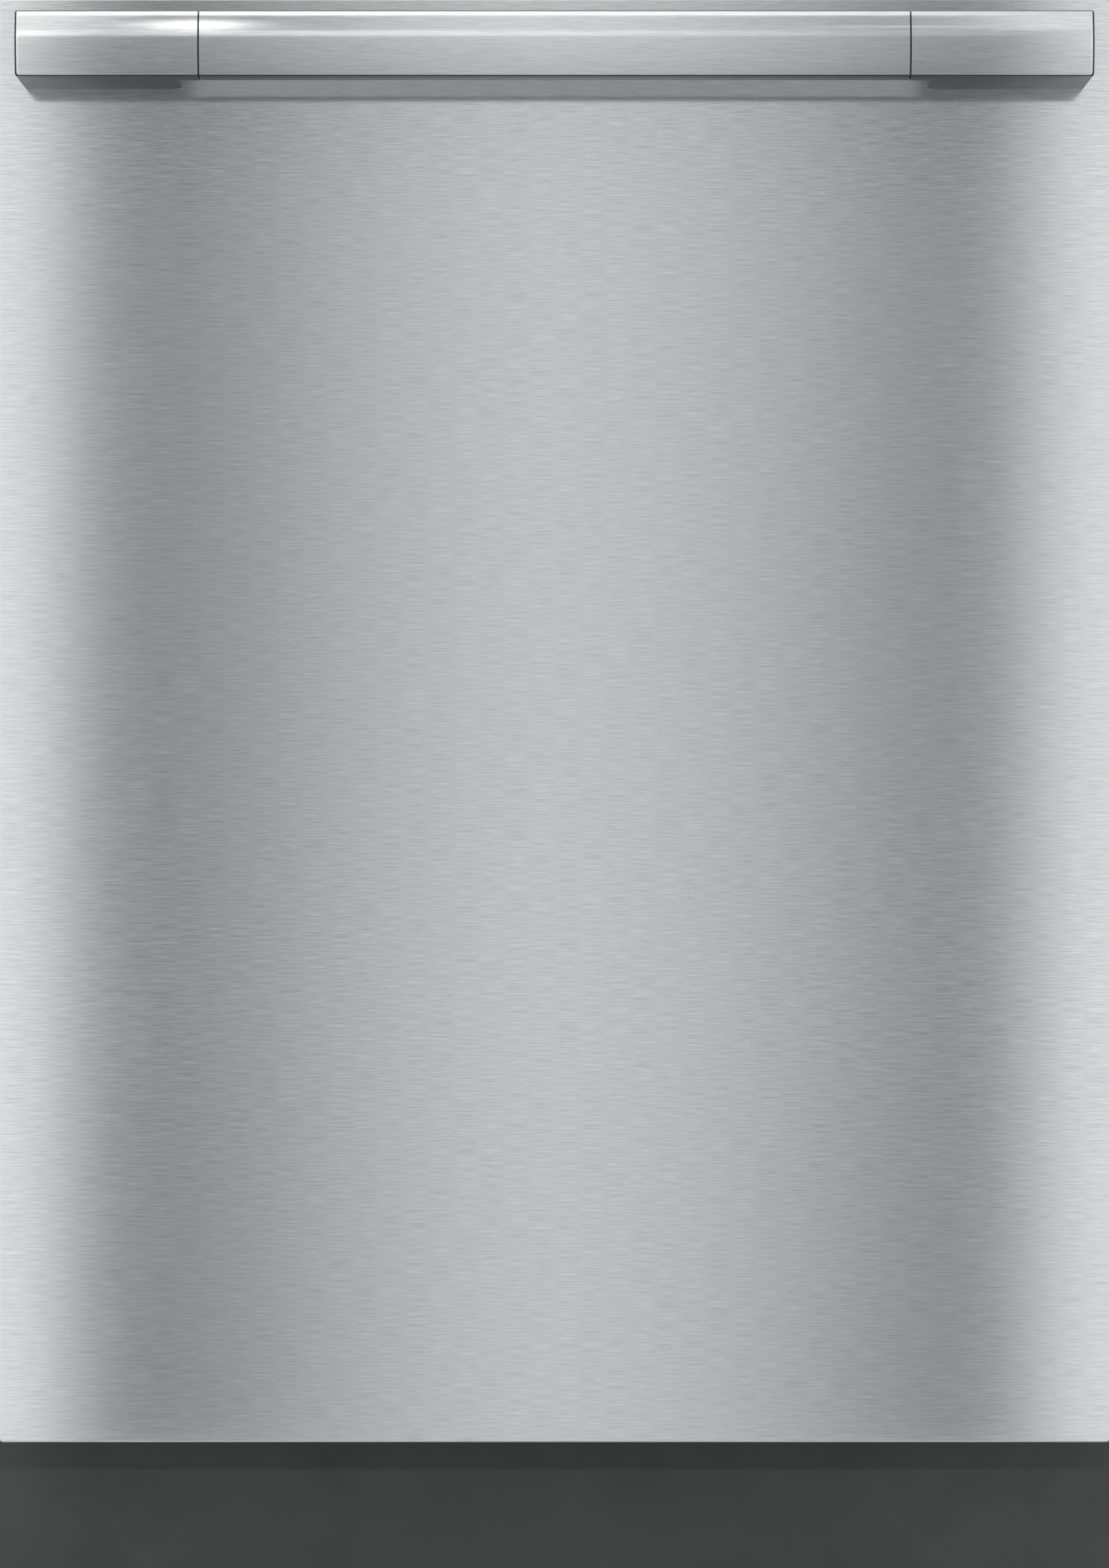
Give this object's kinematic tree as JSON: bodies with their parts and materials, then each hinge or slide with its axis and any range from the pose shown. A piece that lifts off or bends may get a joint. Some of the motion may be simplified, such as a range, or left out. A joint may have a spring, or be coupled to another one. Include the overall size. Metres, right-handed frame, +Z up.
{
  "type": "built-in dishwasher",
  "caption": "Built-in dishwasher with a plain brushed steel door, a wide bar handle, hidden top controls, a recessed toe kick, and sliding racks with spray arms in a steel tub.",
  "frame": {"origin": "on the floor, under the middle of the whole appliance with its handle", "axes": "+X to the right as seen from the front, +Y to the back, +Z up"},
  "size_m": [0.61, 0.632, 0.856],
  "materials": {
    "brushed_stainless": "horizontally brushed stainless steel",
    "tub_stainless": "bright rolled stainless steel",
    "zinc_sheet": "galvanised sheet",
    "zinc_hardware": "zinc plated steel",
    "base_plastic": "dark grey moulded plastic",
    "toe_kick_paint": "satin dark grey paint",
    "mat": "bitumen and felt sound mat",
    "seal_rubber": "black rubber",
    "pump_plastic": "grey moulded plastic",
    "impeller_plastic": "white plastic",
    "valve_plastic": "ivory plastic",
    "electronics_plastic": "black plastic",
    "wash_plastic": "grey dishwasher plastic",
    "float_plastic": "orange plastic",
    "foot_plastic": "black plastic",
    "fascia_plastic": "black gloss plastic",
    "display": "smoked clear plastic",
    "button_metal": "silver painted plastic",
    "dispenser_plastic": "grey plastic",
    "dispenser_lid_plastic": "pale grey plastic",
    "coated_wire": "nylon coated steel wire",
    "wheel_plastic": "grey plastic",
    "tray_plastic": "grey plastic"
  },
  "bodies": {
    "cabinet": {"base_pan": "base_plastic", "tub": "tub_stainless", "side_panel_left": "zinc_sheet", "side_panel_right": "zinc_sheet", "back_panel": "zinc_sheet", "top_panel": "zinc_sheet", "insulation_mats": "mat", "door_gasket": "seal_rubber", "toe_kick": "toe_kick_paint", "sump_bowl": "base_plastic", "flat_filter": "tub_stainless", "circulation_pump": "pump_plastic", "drain_pump": "pump_plastic", "inlet_valve": "valve_plastic", "control_box": "electronics_plastic", "air_break_tank": "valve_plastic", "feed_pipe": "wash_plastic", "tub_rails": "tub_stainless", "hinge_brackets": "zinc_hardware", "door_lock": "base_plastic", "counter_brackets": "zinc_hardware", "cabinet_screws": "zinc_hardware", "door_springs": "zinc_hardware"},
    "lock_bolt": {"lock_bolt": "zinc_hardware"},
    "leak_float": {"leak_float": "float_plastic"},
    "circulation_impeller": {"circulation_impeller": "impeller_plastic"},
    "drain_impeller": {"drain_impeller": "impeller_plastic"},
    "filter_cylinder": {"filter_cylinder": "wash_plastic"},
    "lower_spray_arm": {"lower_spray_arm": "wash_plastic"},
    "top_spray_arm": {"top_spray_arm": "wash_plastic"},
    "foot_front_left": {"foot_front_left": "foot_plastic"},
    "foot_front_right": {"foot_front_right": "foot_plastic"},
    "foot_rear_left": {"foot_rear_left": "foot_plastic"},
    "foot_rear_right": {"foot_rear_right": "foot_plastic"},
    "door": {"front_panel": "brushed_stainless", "door_liner": "tub_stainless", "door_insulation": "mat", "control_fascia": "fascia_plastic", "display_window": "display", "handle_bar": "brushed_stainless", "handle_bracket_left": "brushed_stainless", "handle_bracket_right": "brushed_stainless", "handle_screws": "zinc_hardware", "hinge_arms": "zinc_hardware", "dispenser": "dispenser_plastic"},
    "dispenser_lid": {"dispenser_lid": "dispenser_lid_plastic"},
    "rinse_aid_cap": {"rinse_aid_cap": "dispenser_plastic"},
    "power_button": {"power_button": "button_metal"},
    "program_button": {"program_button": "button_metal"},
    "start_button": {"start_button": "button_metal"},
    "lower_rack": {"lower_rack": "coated_wire"},
    "front_wheels": {"front_wheels": "wheel_plastic"},
    "middle_wheels": {"middle_wheels": "wheel_plastic"},
    "rear_wheels": {"rear_wheels": "wheel_plastic"},
    "folding_tines": {"folding_tines": "coated_wire"},
    "upper_rack": {"upper_rack": "coated_wire"},
    "rail_sliders": {"rail_sliders": "tub_stainless"},
    "middle_spray_arm": {"middle_spray_arm": "wash_plastic"},
    "cup_shelf": {"cup_shelf": "coated_wire"},
    "cutlery_tray": {"cutlery_tray": "tray_plastic"}
  },
  "joints": [
    {"name": "door_swing", "type": "hinge", "parent": "cabinet", "child": "door", "pos_m": [0, -0.224, 0.127], "axis": [1, 0, 0], "range_deg": [0, 90], "stiffness_Nm_per_rad": 26, "springref_deg": -3.44, "deforming": ["door_springs"]},
    {"name": "upper_rack_slide", "type": "slide", "parent": "cabinet", "child": "upper_rack", "axis": [0, -1, 0], "range_m": [0, 0.45]},
    {"name": "rail_slider_slide", "type": "slide", "parent": "cabinet", "child": "rail_sliders", "axis": [0, -1, 0], "range_m": [0, 0.225]},
    {"name": "cutlery_tray_slide", "type": "slide", "parent": "cabinet", "child": "cutlery_tray", "axis": [0, -1, 0], "range_m": [0, 0.3]},
    {"name": "lower_rack_roll", "type": "slide", "parent": "cabinet", "child": "lower_rack", "axis": [0, -1, 0], "range_m": [0, 0.01]},
    {"name": "front_wheel_turn", "type": "hinge", "parent": "lower_rack", "child": "front_wheels", "pos_m": [0.254, -0.116, 0.1713], "axis": [1, 0, 0], "continuous": true},
    {"name": "middle_wheel_turn", "type": "hinge", "parent": "lower_rack", "child": "middle_wheels", "pos_m": [0.254, 0.046, 0.1713], "axis": [1, 0, 0], "continuous": true},
    {"name": "rear_wheel_turn", "type": "hinge", "parent": "lower_rack", "child": "rear_wheels", "pos_m": [0.254, 0.228, 0.1713], "axis": [1, 0, 0], "continuous": true},
    {"name": "folding_tines_fold", "type": "hinge", "parent": "lower_rack", "child": "folding_tines", "pos_m": [0.138, 0, 0.199], "axis": [0, 1, 0], "range_deg": [0, 80]},
    {"name": "cup_shelf_fold", "type": "hinge", "parent": "upper_rack", "child": "cup_shelf", "pos_m": [-0.222, 0.1, 0.606], "axis": [0, -1, 0], "range_deg": [0, 80]},
    {"name": "middle_arm_spin", "type": "hinge", "parent": "upper_rack", "child": "middle_spray_arm", "pos_m": [0, 0.03, 0.46], "axis": [0, 0, 1], "continuous": true},
    {"name": "lower_arm_spin", "type": "hinge", "parent": "cabinet", "child": "lower_spray_arm", "pos_m": [0, 0.03, 0.173], "axis": [0, 0, 1], "continuous": true},
    {"name": "top_arm_spin", "type": "hinge", "parent": "cabinet", "child": "top_spray_arm", "pos_m": [0, 0.03, 0.775], "axis": [0, 0, 1], "continuous": true},
    {"name": "filter_twist", "type": "hinge", "parent": "cabinet", "child": "filter_cylinder", "pos_m": [0.05, 0.01, 0.12], "axis": [0, 0, 1], "range_deg": [0, 90]},
    {"name": "circulation_impeller_spin", "type": "hinge", "parent": "cabinet", "child": "circulation_impeller", "pos_m": [0.13, 0.04, 0.098], "axis": [1, 0, 0], "continuous": true},
    {"name": "drain_impeller_spin", "type": "hinge", "parent": "cabinet", "child": "drain_impeller", "pos_m": [-0.13, -0.07, 0.084], "axis": [1, 0, 0], "continuous": true},
    {"name": "leak_float_rise", "type": "slide", "parent": "cabinet", "child": "leak_float", "axis": [0, 0, 1], "range_m": [0, 0.012]},
    {"name": "lock_bolt_slide", "type": "slide", "parent": "cabinet", "child": "lock_bolt", "axis": [0, -1, 0], "range_m": [0, 0.012]},
    {"name": "dispenser_lid_slide", "type": "slide", "parent": "door", "child": "dispenser_lid", "axis": [-1, 0, 0], "range_m": [0, 0.07]},
    {"name": "rinse_aid_cap_turn", "type": "hinge", "parent": "door", "child": "rinse_aid_cap", "pos_m": [0.048, -0.19, 0.445], "axis": [0, 1, 0], "range_deg": [0, 90]},
    {"name": "power_button_press", "type": "slide", "parent": "door", "child": "power_button", "axis": [0, 0, -1], "range_m": [0, 0.0015], "stiffness_N_per_m": 900, "springref_m": -0.0005},
    {"name": "program_button_press", "type": "slide", "parent": "door", "child": "program_button", "axis": [0, 0, -1], "range_m": [0, 0.0015], "stiffness_N_per_m": 900, "springref_m": -0.0005},
    {"name": "start_button_press", "type": "slide", "parent": "door", "child": "start_button", "axis": [0, 0, -1], "range_m": [0, 0.0015], "stiffness_N_per_m": 900, "springref_m": -0.0005},
    {"name": "foot_front_left_level", "type": "slide", "parent": "cabinet", "child": "foot_front_left", "axis": [0, 0, 1], "range_m": [-0.04, 0.018]},
    {"name": "foot_front_right_level", "type": "slide", "parent": "cabinet", "child": "foot_front_right", "axis": [0, 0, 1], "range_m": [-0.04, 0.018]},
    {"name": "foot_rear_left_level", "type": "slide", "parent": "cabinet", "child": "foot_rear_left", "axis": [0, 0, 1], "range_m": [-0.04, 0.018]},
    {"name": "foot_rear_right_level", "type": "slide", "parent": "cabinet", "child": "foot_rear_right", "axis": [0, 0, 1], "range_m": [-0.04, 0.018]}
  ],
  "couplings": [
    {"joint": "upper_rack_slide", "follows": "door_swing", "m_per_rad": 0.2864},
    {"joint": "rail_slider_slide", "follows": "door_swing", "m_per_rad": 0.1432},
    {"joint": "cutlery_tray_slide", "follows": "door_swing", "m_per_rad": 0.1909},
    {"joint": "front_wheel_turn", "follows": "lower_rack_roll", "rad_per_m": 62.5},
    {"joint": "middle_wheel_turn", "follows": "lower_rack_roll", "rad_per_m": 62.5},
    {"joint": "rear_wheel_turn", "follows": "lower_rack_roll", "rad_per_m": 62.5}
  ]
}
